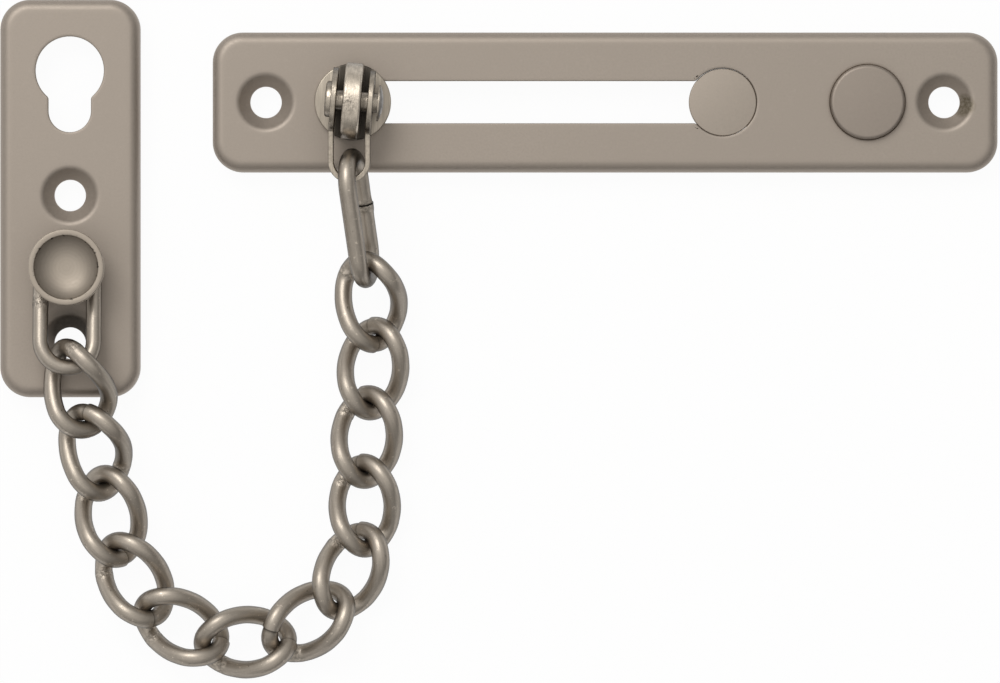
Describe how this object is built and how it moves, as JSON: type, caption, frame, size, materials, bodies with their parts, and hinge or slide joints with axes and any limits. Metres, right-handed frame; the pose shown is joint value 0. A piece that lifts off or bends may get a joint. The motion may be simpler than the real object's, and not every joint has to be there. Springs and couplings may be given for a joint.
{
  "type": "door chain",
  "caption": "Slotted door plate with a sliding, swivelling bail, a welded twisted-link chain on it, and a keeper plate whose dished stud holds the chain's other end.",
  "frame": {"origin": "midway between the door plate's two screw holes, on the plane of both plates' backs, which is the face of the door and frame", "axes": "+X along the slot from the slider's end to the release button, +Y across the door plate, away from the hanging chain, +Z out of the door"},
  "size_m": [0.1656, 0.1126, 0.0188],
  "materials": {
    "plate_steel": "fine matt warm grey",
    "button_steel": "satin",
    "spring_steel": "dull",
    "disc_steel": "brushed",
    "raw_steel": "bright, scuffed",
    "chain_steel": "satin with streaks"
  },
  "bodies": {
    "door_plate": {"door_plate": "plate_steel"},
    "catch": {"catch_plug": "plate_steel", "catch_button": "button_steel", "catch_spring": "spring_steel"},
    "slider": {"slider_rivet": "raw_steel"},
    "slider_head": {"slider_disc": "disc_steel", "slider_lug": "raw_steel"},
    "bail": {"bail": "raw_steel", "bail_pin": "raw_steel"},
    "long_link": {"long_link": "chain_steel"},
    "link_01": {"link_01": "chain_steel"},
    "link_02": {"link_02": "chain_steel"},
    "link_03": {"link_03": "chain_steel"},
    "link_04": {"link_04": "chain_steel"},
    "link_05": {"link_05": "chain_steel"},
    "link_06": {"link_06": "chain_steel"},
    "link_07": {"link_07": "chain_steel"},
    "link_08": {"link_08": "chain_steel"},
    "link_09": {"link_09": "chain_steel"},
    "link_10": {"link_10": "chain_steel"},
    "link_11": {"link_11": "chain_steel"},
    "link_12": {"link_12": "chain_steel"},
    "end_link": {"end_link": "chain_steel"},
    "keeper": {"keeper_plate": "plate_steel", "stud": "button_steel"}
  },
  "joints": [
    {"name": "catch_press", "type": "slide", "parent": "door_plate", "child": "catch", "axis": [0, 0, -1], "range_m": [0, 0.0023], "stiffness_N_per_m": 1500, "springref_m": -0.002},
    {"name": "slider_slide", "type": "slide", "parent": "door_plate", "child": "slider", "axis": [1, 0, 0], "range_m": [0, 0.05]},
    {"name": "slider_swivel", "type": "hinge", "parent": "slider", "child": "slider_head", "pos_m": [-0.04185, 0, 0.006], "axis": [0, 0, 1], "range_deg": [-90, 90]},
    {"name": "bail_hinge", "type": "hinge", "parent": "slider_head", "child": "bail", "pos_m": [-0.04185, 0, 0.0124], "axis": [-0.9962, 0.0872, 0], "range_deg": [0, 185]},
    {"name": "long_link_hinge", "type": "hinge", "parent": "bail", "child": "long_link", "pos_m": [-0.04231, -0.01298, 0.01172], "axis": [1, 0, 0], "range_deg": [-60, 0]},
    {"name": "link_01_hinge", "type": "hinge", "parent": "long_link", "child": "link_01", "pos_m": [-0.0394, -0.02938, 0.00609], "axis": [-0.2001, -0.3146, 0.9279], "range_deg": [-10, 20]},
    {"name": "link_02_hinge", "type": "hinge", "parent": "link_01", "child": "link_02", "pos_m": [-0.03764, -0.04027, 0.00362], "axis": [0.6936, 0.2695, -0.668], "range_deg": [-45, 30]},
    {"name": "link_03_hinge", "type": "hinge", "parent": "link_02", "child": "link_03", "pos_m": [-0.0393, -0.05167, 0.00403], "axis": [0.7232, -0.076, -0.6864], "range_deg": [-45, 45]},
    {"name": "link_04_hinge", "type": "hinge", "parent": "link_03", "child": "link_04", "pos_m": [-0.04014, -0.06304, 0.00403], "axis": [0.725, -0.0571, -0.6864], "range_deg": [-45, 45]},
    {"name": "link_05_hinge", "type": "hinge", "parent": "link_04", "child": "link_05", "pos_m": [-0.03977, -0.07444, 0.00403], "axis": [0.7271, 0.0127, -0.6864], "range_deg": [-50, 25]},
    {"name": "link_06_hinge", "type": "hinge", "parent": "link_05", "child": "link_06", "pos_m": [-0.04528, -0.08465, 0.00403], "axis": [-0.6618, 0.3016, 0.6864], "range_deg": [-15, 60]},
    {"name": "link_07_hinge", "type": "hinge", "parent": "link_06", "child": "link_07", "pos_m": [-0.05398, -0.08939, 0.00403], "axis": [0, 0, 1], "range_deg": [-5, 70]},
    {"name": "link_08_hinge", "type": "hinge", "parent": "link_07", "child": "link_08", "pos_m": [-0.06381, -0.09068, 0.00403], "axis": [-0.3581, -0.6329, 0.6864], "range_deg": [-15, 60]},
    {"name": "link_09_hinge", "type": "hinge", "parent": "link_08", "child": "link_09", "pos_m": [-0.07686, -0.08329, 0.00403], "axis": [0.3581, 0.6329, 0.6864], "range_deg": [-15, 60]},
    {"name": "link_10_hinge", "type": "hinge", "parent": "link_09", "child": "link_10", "pos_m": [-0.0819, -0.07274, 0.00403], "axis": [-0.6298, -0.3636, -0.6864], "range_deg": [-50, 25]},
    {"name": "link_11_hinge", "type": "hinge", "parent": "link_10", "child": "link_11", "pos_m": [-0.0834, -0.06132, 0.00403], "axis": [-0.7151, -0.1325, -0.6864], "range_deg": [-45, 45]},
    {"name": "link_12_hinge", "type": "hinge", "parent": "link_11", "child": "link_12", "pos_m": [-0.08619, -0.05105, 0.00843], "axis": [0.7614, -0.0394, 0.6471], "range_deg": [-25, 25]},
    {"name": "end_link_hinge", "type": "hinge", "parent": "link_12", "child": "end_link", "pos_m": [-0.08896, -0.04034, 0.01125], "axis": [0.5769, -0.0758, 0.8133], "range_deg": [0, 40]},
    {"name": "stud_swivel", "type": "hinge", "parent": "end_link", "child": "keeper", "pos_m": [-0.08902, -0.02746, 0.006], "axis": [0, 0, 1], "range_deg": [-90, 90]}
  ],
  "couplings": [
    {"joint": "slider_swivel", "follows": "slider_slide", "rad_per_m": -9.146},
    {"joint": "link_07_hinge", "follows": "slider_slide", "rad_per_m": 15.394},
    {"joint": "stud_swivel", "follows": "slider_slide", "rad_per_m": -6.248}
  ]
}
